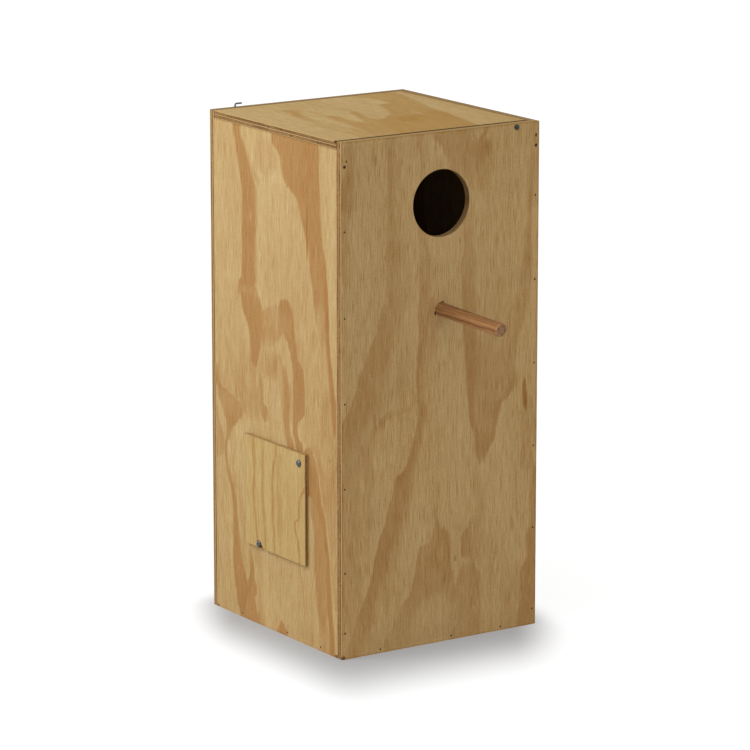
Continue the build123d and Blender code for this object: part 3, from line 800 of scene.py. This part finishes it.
# Rings from the inner end to the worn outer one: how far along each is, and its share of the full radius.
rings = [(0.0, 0.0), (0.0, 0.5), (0.0, 0.94), (0.0005, 1.0)]
rings += [(perch_length * i / perch_steps, 1.0) for i in range(1, perch_steps)]
worn = ((1.0, 0.995), (0.6, 0.975), (0.25, 0.92), (0.0, 0.82))
rings += [(perch_length - before_end * worn_edge, share) for before_end, share in worn]
rings += [(perch_length, share) for share in (0.7, 0.56, 0.4, 0.2, 0.0)]
perch_body = bmesh.new()
rows = []
for along, share in rings:
    row = []
    for i in range(perch_around if share else 1):
        turn = 2 * math.pi * i / perch_around
        facing = perch_side * math.cos(turn) + perch_up * math.sin(turn)
        lump = Vector((math.cos(turn) * lump_turns, math.sin(turn) * lump_turns, along * lump_run))
        grain = noise.fractal(lump, 1.0, 2.0, 3)
        out = perch_radius * share * (1 - lumps - lumps * max(-1.0, min(1.0, grain)))
        reach = along
        if along > perch_length - 2 * worn_edge:
            rough = noise.noise(facing * share * saw_grain + Vector((0, 0, 3)))
            reach -= saw_marks * (1 + rough)
            chip = max(0.0, 1 - ((turn - chip_turn) / chip_half_width) ** 2)
            chip *= max(0.0, (share - chip_from) / (1 - chip_from))
            reach -= chip_back * chip
            out -= chip_in * chip
        row.append(perch_body.verts.new(perch_end + perch_way * reach + facing * out))
    rows.append(row)
for low_row, high_row in zip(rows, rows[1:]):
    for i in range(perch_around):
        j = (i + 1) % perch_around
        round_face = ((low_row, i), (low_row, j), (high_row, j), (high_row, i))
        corners = [row[at % len(row)] for row, at in round_face]
        perch_body.faces.new(list(dict.fromkeys(corners)))
bmesh.ops.recalc_face_normals(perch_body, faces=perch_body.faces)
perch_mesh = bpy.data.meshes.new("perch_dowel_rod")
keep_shape(perch_body, perch_mesh, sharp_from=30)

# Streaky long grain, with a dark and a light line along it at fixed turns round the dowel, a painted lighter
# underside that stands in for light, and tool chatter on top.
streak_dark, streak_light = tint(126, 87, 51), tint(164, 117, 73)
under_tone, dark_line_tone, light_line_tone = tint(186, 138, 90), tint(110, 70, 42), tint(166, 120, 76)
chatter_tone, rim_tone = tint(98, 64, 36), tint(172, 128, 84)
end_dark, end_light = tint(110, 78, 54), tint(168, 128, 94)
perch_wood, mix, shader, place, normal = new_finish("perch hardwood")
x, y, z = mix.parts(place)
axis_z = (perch_end.z + perch_way.z * perch_length / 2) * 1000
up = mix.minus(z, axis_z)
wobble = mix.line(mix.mottle(mix.stretch(place, 0.0, 0.03, 0.0), detail=2), 0.5, -0.25)
turn = mix.plus(mix.calc("ARCTAN2", up, mix.times(x, -1.0)), wobble)
streaks = mix.mottle(mix.stretch(place, 0.45, 0.012, 0.45), detail=4, roughness=0.6)
pores = mix.mottle(mix.stretch(place, 1.6, 0.09, 1.6), detail=2)
wood = mix.blend(mix.fade(streaks, 0.3, 0.7), streak_dark, streak_light)
dark_line = mix.fade(mix.calc("ABSOLUTE", mix.plus(turn, 0.25)), 0.04, 0.2, 0.7, 0.0)
# Painted light: the underside is lightened, standing in for light that reaches it.
under = mix.fade(turn, -0.75, -0.4, 0.6, 0.0)
wood = mix.blend(under, wood, under_tone)
wood = mix.blend(dark_line, wood, dark_line_tone)
light_line = mix.fade(mix.calc("ABSOLUTE", mix.minus(turn, 0.12)), 0.04, 0.24, 0.7, 0.0)
wood = mix.blend(light_line, wood, light_line_tone)
chatter = mix.plus(mix.times(y, 0.42), mix.times(turn, 2.6))
chatter = mix.mottle(mix.vector(chatter, mix.times(turn, 0.6), 0.0), detail=2)
rough_top = mix.times(mix.fade(turn, 0.9, 1.5), mix.fade(chatter, 0.42, 0.6, 0.6, 0.0))
wood = mix.blend(rough_top, wood, chatter_tone)
wood = mix.scale(wood, mix.fade(pores, 0.3, 0.5, 0.8, 1.03))

# The sawn end and its broken rim.
rings_seen = mix.calc("SINE", mix.plus(mix.times(up, 3.0), mix.times(streaks, 8.0)))
end_wood = mix.blend(mix.fade(mix.mottle(place, 0.4, detail=4), 0.3, 0.6), end_dark, end_light)
end_wood = mix.scale(end_wood, mix.fade(rings_seen, -1.0, 1.0, 0.9, 1.05))
endwise = mix.calc("ABSOLUTE", mix.parts(normal)[1])
wood = mix.blend(mix.fade(endwise, 0.12, 0.4, 0.0, 0.5), wood, rim_tone)
on_end = mix.fade(endwise, 0.7, 0.9)
bump_height = mix.plus(mix.times(pores, 0.6), mix.times(streaks, 0.4))
bump = mix.put("Bump", {"Height": bump_height, "Strength": 0.6, "Distance": 0.0004})
rough = mix.plus(mix.fade(streaks, 0.3, 0.7, 0.78, 0.68), mix.times(on_end, 0.25))
mix.give(shader, {"Base Color": mix.blend(on_end, wood, end_wood), "Roughness": rough, "Normal": bump})
shader.inputs["Specular IOR Level"].default_value = 0.2
perch_mesh.materials.append(perch_wood)
perch = set_out("perch_rod", perch_mesh)
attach(perch, "box")
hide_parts("perch_dowel")


# Back: the front's twin in plywood, nailed over the back edges of the sides and the floor. It has no
# openings, only the lid screw's hole near one upper corner and the hook's pilot hole in its top edge.
back_top = tint(146, 119, 80)
back_shift = 1400.0
back_brads = brads_in("back_left_brads", "back_right_brads", "back_floor_brads")
back_finish = ply_finish(
    "back ply", "back_panel", ("-x", "-z", "-y"), front_bands, ply_pale, ply_late, flecks=0.8,
    shift=back_shift, brads=back_brads, top=back_top,
)
cut_panel("back_sheet", "back_panel", "box", back_finish, brads=back_brads)


# Brads: flat wire pins shot through the walls into the edges behind them and punched below the face. Bare
# steel, blackened where the wood's sap has touched it. Their solids have the right shape and only take this
# finish.
brad_steel = metal_finish(
    "blackened brad steel", bright=tint(84, 76, 70), dull=tint(44, 36, 32), roughness=0.5, patch=1.2
)
for name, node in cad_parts.items():
    if name.endswith("_brads"):
        for holder in node.material_slots:
            holder.material = brad_steel


# Lid: one plywood sheet between front and back, its grain from front to back. Its left edge lies on the left
# side, and near its right edge two screws from the front and the back carry it. A painted shadow darkens its
# front edge, where it meets the front.
lid_bands = [
    ((5, 6), [(216, 61, 73, 0.6), (208, 59, 79, 1), (190, 57, 77, 1.1), (172, 51, 71, 1.1), (158, 49, 67, 1),
              (145, 47, 65, 0.8), (128, 43, 62, 0.6), (105, 39, 59, 0.5), (75, 37, 62, 0.5),
              (40, 38, 77, 0.55), (0, 36, 90, 0.6)]),
    ((4, 7), [(150, 81, 96, 1), (140, 80, 99, 1.15), (125, 78, 96, 1.1), (108, 76, 96, 1), (90, 73, 104, 1),
              (70, 69, 112, 1), (40, 64, 120, 0.95), (0, 58, 122, 0.95)]),
    ((4, 5), [(160, 122, 131, 0.9), (150, 119, 131, 1.1), (138, 114, 129, 1.1), (125, 108, 126, 1.05),
              (110, 103, 124, 1.05), (95, 98, 130, 1.05), (80, 94, 136, 1.05)]),
    ((5, 4), [(256, 184, 251, 0.9), (245, 187, 248, 0.95), (236, 195, 248, 0.95), (222, 200, 247, 1),
              (205, 199, 243, 1), (192, 197, 240, 1), (187, 180, 238, 1.05), (170, 174, 233, 1.05),
              (150, 166, 227, 1.05), (130, 158, 222, 1.05), (112, 140, 220, 1.1), (100, 124, 219, 1.2),
              (85, 108, 217, 1.25), (70, 102, 213, 1.25), (50, 98, 208, 1.25), (30, 92, 204, 1.25),
              (10, 88, 200, 1.25), (0, 86, 198, 1.25)]),
    ((6, 6), [(106, 158, 182, 1.1), (92, 138, 186, 1.45), (75, 134, 168, 1.55), (62, 148, 172, 1.35),
              (50, 150, 166, 1.1)]),
    ((6, 3), [(115, 190, 218, 1.2), (90, 192, 216, 1.3), (60, 184, 210, 1.25), (40, 182, 205, 1.1)]),
    ((3, 5), [(48, 102, 114, 1.1), (30, 96, 112, 1.25), (0, 90, 108, 1.25)]),
    ((3, 3), [(124, 126, 133, -0.4), (112, 124, 137, -0.8), (100, 126, 132, -0.4)]),
    ((2, 2), [(132, 96, 103, -0.5), (115, 95, 107, -0.8), (98, 97, 102, -0.5)]),
    ((3, 3), [(128, 181, 188, -0.3), (116, 180, 194, -0.5), (104, 184, 190, -0.3)]),
    ((8, 3), [(180, 242, 266, 0.15), (120, 236, 266, 0.25), (60, 228, 266, 0.3), (20, 222, 266, 0.45),
              (0, 218, 266, 0.5)]),
    ((3, 1), [(260, 256, 266, 0.4), (120, 256, 266, 0.5), (0, 258, 266, 0.5)]),
]
lid_pale = tint(188, 158, 107)
lid_late = tint(174, 138, 80)
# The second lid mark is a painted shadow along the lid's front edge, where it meets the front.
lid_marks = [(2, 3, 3.0, 4.0, 0.9), (131, 0, 300, 6.0, 0.95)]
lid_finish = ply_finish(
    "lid ply", "lid_panel", ("+x", "+y", "-z"), lid_bands, lid_pale, lid_late, flecks=0.5, core=0.7,
    cross=3.3, marks=lid_marks,
)
cut_panel("lid_sheet", "lid_panel", "lid", lid_finish)


# Lid screws: pan-head wood screws of plated steel, one through the front and one through the back, that bite
# into the lid's edges and let it swing. The shank is plain where it turns in the wall, threaded in the lid.
def make_screw_cutter():
    """Pan-head screws on given seats: domed head, tapered cross recess, plain neck, thread, blunt tip."""
    head_sides, head_rings, shank_sides, shank_rings = 48, 10, 16, 120
    dome_drop, thread_depth, recess_slimness = -0.55, 0.3, 0.3
    recess_top, recess_bottom, recess_height, recess_lift = 0.7071, 0.38, 1.1, 0.95
    buried_share, tip_slope, tip_start = 0.2, 0.8, 0.3
    sizes = ("Head", "Head Height", "Shank", "Length", "Neck", "Pitch", "Recess")
    inputs = {"Seats": "Geometry"} | {name: "Float" for name in sizes} | {"Finish": "Material", "Seed": "Int"}
    jig, given, out = new_group("pan head screws", inputs, {"Geometry": "Geometry"}, "GeometryNodeTree")
    here = jig.put("GeometryNodeInputPosition", {})
    x, y, z = jig.parts(here)
    from_axis = jig.distance(x, y)
    head_radius = jig.times(given["Head"], 0.5)
    tall = given["Head Height"]
    head = jig.put("GeometryNodeMeshCylinder", {
        "Vertices": head_sides, "Side Segments": 3, "Fill Segments": head_rings, "Radius": head_radius,
        "Depth": tall,
    })
    half_up = jig.vector(0.0, 0.0, jig.times(tall, 0.5))
    head = jig.put("GeometryNodeTransform", {"Geometry": head, "Translation": half_up})
    share = jig.calc("DIVIDE", from_axis, head_radius)
    drop = jig.times(jig.times(z, dome_drop), jig.calc("POWER", share, 3.0))
    head = jig.put("GeometryNodeSetPosition", {"Geometry": head, "Offset": jig.vector(0.0, 0.0, drop)})

    arm = jig.put("GeometryNodeMeshCone", {
        "Vertices": 4, "Side Segments": 1, "Fill Segments": 1, "Radius Top": recess_top,
        "Radius Bottom": recess_bottom, "Depth": 1.0,
    })
    arm = jig.put("GeometryNodeTransform", {"Geometry": arm, "Rotation": (0.0, 0.0, math.radians(45))})
    span = jig.times(given["Head"], given["Recess"])
    slim = jig.times(span, recess_slimness)
    size = jig.vector(span, slim, jig.times(tall, recess_height))
    lift = jig.vector(0.0, 0.0, jig.times(tall, recess_lift))
    arm = jig.put("GeometryNodeTransform", {"Geometry": arm, "Translation": lift, "Scale": size})
    other_arm = jig.put("GeometryNodeTransform", {"Geometry": arm, "Rotation": (0.0, 0.0, math.radians(90))})
    cross = jig.put("GeometryNodeMeshBoolean", {"Mesh 2": arm}, operation="UNION", solver="EXACT")
    jig.tree.links.new(other_arm, cross.node.inputs["Mesh 2"])
    recessed = {"Mesh 1": head, "Mesh 2": cross}
    head = jig.put("GeometryNodeMeshBoolean", recessed, operation="DIFFERENCE", solver="EXACT")

    long = given["Length"]
    buried = jig.times(tall, buried_share)
    shank_radius = jig.times(given["Shank"], 0.5)
    shank = jig.put("GeometryNodeMeshCylinder", {
        "Vertices": shank_sides, "Side Segments": shank_rings, "Fill Segments": 1, "Radius": shank_radius,
        "Depth": jig.plus(long, buried),
    })
    centre = jig.times(jig.minus(buried, long), 0.5)
    shank = jig.put("GeometryNodeTransform", {"Geometry": shank, "Translation": jig.vector(0.0, 0.0, centre)})
    turns = jig.calc("DIVIDE", jig.calc("ARCTAN2", y, x), 2 * math.pi)
    phase = jig.calc("FRACT", jig.plus(jig.calc("DIVIDE", z, given["Pitch"]), turns))
    valley = jig.minus(1.0, jig.calc("ABSOLUTE", jig.line(phase, 2.0, -1.0)))
    threaded = jig.calc("LESS_THAN", z, jig.times(given["Neck"], -1.0))
    slimmer = jig.times(jig.times(valley, threaded), thread_depth)
    to_tip = jig.calc("DIVIDE", jig.plus(z, long), given["Shank"])
    tip = jig.calc("MINIMUM", 1.0, jig.line(to_tip, tip_slope, tip_start))
    grow = jig.minus(jig.times(jig.minus(1.0, slimmer), tip), 1.0)
    inward = jig.scale(jig.vector(x, y, 0.0), grow)
    shank = jig.put("GeometryNodeSetPosition", {"Geometry": shank, "Offset": inward})
    screw = jig.put("GeometryNodeMeshBoolean", {"Mesh 2": head}, operation="UNION", solver="EXACT")
    jig.tree.links.new(shank, screw.node.inputs["Mesh 2"])

    way = jig.put("GeometryNodeInputNamedAttribute", {"Name": "way"}, data_type="FLOAT_VECTOR")
    stand = jig.put("FunctionNodeAlignRotationToVector", {"Vector": way}, axis="Z")
    on_seats = {"Points": given["Seats"], "Instance": screw, "Rotation": stand}
    rows = jig.put("GeometryNodeInstanceOnPoints", on_seats)
    half_turn = {2: 0.0, 3: math.pi, "Seed": given["Seed"]}
    spin = jig.put("FunctionNodeRandomValue", half_turn, output=1, data_type="FLOAT")
    rows = jig.put("GeometryNodeRotateInstances", {"Instances": rows, "Rotation": jig.vector(0.0, 0.0, spin)})
    rows = jig.put("GeometryNodeRealizeInstances", {"Geometry": rows})
    rows = jig.put("GeometryNodeSetMaterial", {"Geometry": rows, "Material": given["Finish"]})
    jig.tree.links.new(rows, out.inputs["Geometry"])
    return jig.tree


screw_cutter = make_screw_cutter()
screw_zinc = metal_finish(
    "plated screw steel", bright=tint(104, 110, 112), dull=tint(48, 52, 54), roughness=0.3, patch=0.7
)


def drive_screws(name, nodes, body, head, head_height, shank, neck, pitch, seed, finish=screw_zinc):
    """The screws of some nodes as one piece: each seat is the middle of the head's underside."""
    recess_share = 0.55
    ends = [end for node in nodes for end in outer_ends(node)]
    low, high = solids_of(nodes[0])[0]
    values = {
        "Head": head, "Head Height": head_height, "Shank": shank, "Length": max(high - low) - head_height,
        "Neck": neck, "Pitch": pitch, "Recess": recess_share, "Finish": finish, "Seed": seed,
    }
    seats = bpy.data.meshes.new(name + " seats")
    seats.from_pydata([end - way * head_height for end, way in ends], [], [])
    ways = seats.attributes.new("way", "FLOAT_VECTOR", "POINT")
    for seat, (_, way) in zip(ways.data, ends):
        seat.vector = way
    piece = run_jig(name, screw_cutter, seats, values)
    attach(piece, body)
    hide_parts(*nodes)


# Painted shade: the lid screws take a darker copy of the screw steel, standing in for the shade they sit in.
screw_shaded = metal_finish(
    "shaded screw steel", bright=tint(78, 84, 80), dull=tint(34, 38, 36), roughness=0.4, patch=0.9
)
drive_screws(
    "lid_screws", ["lid_pivot_screws"], "lid", head=0.0063, head_height=0.0022, shank=0.0035, neck=0.011,
    pitch=0.0014, seed=3, finish=screw_shaded,
)


# Door: a square of thinner three-ply, lapped over the opening in the left side and held by two screws. The
# slot in its lower edge is an arc round the pivot screw, so the door can turn off the latch screw.
door_bands = [
    ((2, 2), [(132, 14, 23, 0.9), (110, 16, 24, 0.9), (90, 18, 24, 0.95), (70, 15, 23, 1.1),
              (60, 16, 22, 1.05), (40, 18, 25, 1), (20, 21, 28, 0.95), (0, 23, 30, 0.95)]),
    ((2, 2), [(132, 37, 43, 0.8), (110, 36, 42, 0.85), (90, 36, 42, 0.9), (70, 36, 42, 0.85),
              (50, 37, 44, 0.85), (30, 39, 46, 0.85), (0, 41, 48, 0.9)]),
    ((2, 2), [(132, 66, 73, 0.8), (115, 63, 70, 0.9), (105, 60, 67, 0.9), (90, 58, 64, 0.9),
              (70, 57, 63, 0.95), (50, 57, 63, 0.9), (30, 60, 66, 0.9), (0, 62, 68, 0.9)]),
    ((3, 6), [(120, 73, 88, 0.35), (90, 66, 84, 0.5), (60, 67, 86, 0.55), (30, 69, 84, 0.5),
              (0, 69, 82, 0.45)]),
    ((2, 2), [(92, 126, 133, 1.1), (84, 119, 126, 1.1), (70, 115, 121, 1.1), (56, 114, 120, 1.1),
              (50, 109, 117, 1.15), (44, 105, 112, 1.15), (34, 109, 115, 1.2), (24, 112, 119, 1.3),
              (0, 115, 121, 1.2)]),
    ((8, 2), [(132, 84, 134, 0.15), (90, 84, 134, 0.2), (40, 86, 134, 0.2), (0, 90, 134, 0.15)]),
]
door_pale = tint(187, 158, 104)
door_late = tint(173, 135, 83)
no_core, half_middle_ply = -1.0, 1.15
door_finish = ply_finish(
    "door ply", "door_panel", ("-y", "+z", "+x"), door_bands, door_pale, door_late, flecks=0.3,
    core=no_core, cross=half_middle_ply,
)
cut_panel("door_sheet", "door_panel", "door", door_finish, arris=0.0003)


# Door screws: the same plated pan heads, a size larger, driven into the left side. One is the pivot near the
# door's upper corner, the other stands in its slot and holds the door shut.
drive_screws(
    "door_screws", ["door_pivot_screw", "door_latch_screw"], "box", head=0.008, head_height=0.0026,
    shank=0.004, neck=0.0052, pitch=0.0015, seed=7,
)


# Lid hook: plated steel wire bent square, its leg pushed into a hole in the back's top edge. The arm turns
# over the lid to hold it down, and is turned off it here.
hook_wire, hook_bend, hook_sides = 0.002, 0.0018, 20
hook_low, hook_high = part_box("lid_hook")
hook_x, hook_y = hook_low.x + hook_wire / 2, (hook_low.y + hook_high.y) / 2
hook_z = hook_high.z - hook_wire / 2
hook_run = [(hook_x, hook_y, hook_low.z), (hook_x, hook_y, hook_z), (hook_high.x, hook_y, hook_z)]
hook_zinc = metal_finish(
    "plated hook wire", bright=tint(116, 118, 118), dull=tint(66, 68, 69), roughness=0.34
)
hook = bend_wire("lid_wire_hook", [hook_run], hook_wire, hook_bend, hook_sides, hook_zinc)
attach(hook, "hook")
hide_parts("lid_hook")


# Studio: a white paper floor, a soft light from above on the left with a softbox beside it, a weak fill from
# the front, and a pale sky. The camera stands a long way off with a long lens. The paper has a painted soft
# shadow round the box's foot, under the shadow that the lamps give.
box_middle = Vector((0.0, 0.0, 0.3))
view_turn = math.radians(33.62)
view_height = math.radians(12.87)
view_distance = 4.891
lens_length, lens_frame = 200.06, 36.0
aim_right, aim_up = 0.0021, -0.0086
back = Vector((-math.sin(view_turn), -math.cos(view_turn), 0.0)) * math.cos(view_height)
back.z = math.sin(view_height)
right = Vector((0.0, 0.0, 1.0)).cross(back).normalized()
up = back.cross(right)
camera_data = bpy.data.cameras.new("camera")
camera_data.sensor_width = lens_frame
camera_data.lens = lens_length
camera_data.clip_end = 100.0
camera = set_out("camera", camera_data)
stand_point = box_middle + right * aim_right + up * aim_up + back * view_distance
camera.matrix_world = Matrix.Translation(stand_point) @ Matrix((right, up, back)).transposed().to_4x4()
bpy.context.scene.camera = camera
bpy.context.scene.view_settings.view_transform = "Standard"


def seen_directly(mix):
    """1 for what the camera sees, also in metal, and 0 for light that goes on to light the object."""
    path = mix.tree.nodes.new("ShaderNodeLightPath").outputs
    mirrored = mix.calc("MAXIMUM", path["Is Glossy Ray"], path["Is Transmission Ray"])
    return mix.calc("MAXIMUM", path["Is Camera Ray"], mirrored)


reach = 12.0
floor_mesh = bpy.data.meshes.new("studio_floor")
floor_corners = [(x * reach, y * reach, 0.0) for x, y in ((-1, -1), (1, -1), (1, 1), (-1, 1))]
floor_mesh.from_pydata(floor_corners, [], [(0, 1, 2, 3)])
studio_floor = set_out("studio_floor", floor_mesh)
paper, mix, shader, place, _ = new_finish("white paper")
seen = seen_directly(mix)
x, y, _ = mix.parts(place)
half_wide, half_deep = 136.0, 140.0
shade_left, shade_front, shade_back = 117.0, 186.0, 60.0
tuck_left, tuck_front = 9.0, 10.0
tip_out, tip_in = 45.0, 30.0
shade_turn = math.radians(33.6)
half_shade = half_wide * math.cos(shade_turn) + half_deep * math.sin(shade_turn)
sideways = mix.times(y, -math.sin(shade_turn))
sideways = mix.line(x, math.cos(shade_turn), sideways)
# Painted shadow: round the box's foot, most to the left and in front, the paper's glow is lowered.
left_shade = mix.fade(x, -half_wide - shade_left, -half_wide + tuck_left)
front_shade = mix.fade(y, -half_deep - shade_front, -half_deep + tuck_front)
shade = mix.calc("SMOOTH_MIN", left_shade, front_shade, 0.5)
for way, low, high in (
    (sideways, -half_shade - tip_out, -half_shade + tip_in),
    (sideways, half_shade + tip_out, half_shade - tip_in),
    (x, half_wide + shade_back, half_wide), (y, half_deep + shade_back, half_deep),
):
    shade = mix.times(shade, mix.fade(way, low, high))
open_glow, shade_depth = 0.89, 0.70
glow = mix.line(shade, -shade_depth, open_glow)
white, lighting_grey, seen_grey = ((tone, tone, tone, 1.0) for tone in (1.0, 0.64, 0.2))
paper_tone = mix.blend(seen, lighting_grey, seen_grey)
mix.give(shader, {
    "Base Color": paper_tone, "Roughness": 0.9, "Specular IOR Level": 0.0, "Emission Color": white,
    "Emission Strength": mix.times(seen, glow),
})
floor_mesh.materials.append(paper)

world = bpy.data.worlds.new("pale sky")
bpy.context.scene.world = world
world.use_nodes = True
mix = Recipe(world.node_tree)
sky = world.node_tree.nodes["Background"]
sky_light = 0.42
mix.give(sky, {"Color": white, "Strength": mix.fade(seen_directly(mix), 0.0, 1.0, sky_light, 1.0)})


def hang_lamp(name, kind, energy, way, place=(0.0, 0.0, 0.0)):
    """A lamp that shines from a direction."""
    lamp = bpy.data.lights.new(name, kind)
    lamp.energy = energy
    holder = set_out(name, lamp)
    holder.location = place
    holder.rotation_euler = Vector(way).to_track_quat("Z", "Y").to_euler()
    return lamp


key_light, key_spread, key_way = 0.62, math.radians(90), (-0.64, 0.15, 0.72)
fill_light, fill_spread = 1.22, math.radians(120)
softbox_light, softbox_width = 8.2, 0.7
softbox_place, softbox_aim = Vector((-1.15, 0.30, 1.15)), Vector((-0.136, 0.0, 0.45))
hang_lamp("soft_key", "SUN", key_light, key_way).angle = key_spread
hang_lamp("front_fill", "SUN", fill_light, back).angle = fill_spread
softbox = hang_lamp("softbox", "AREA", softbox_light, softbox_place - softbox_aim, softbox_place)
softbox.shape = "DISK"
softbox.size = softbox_width
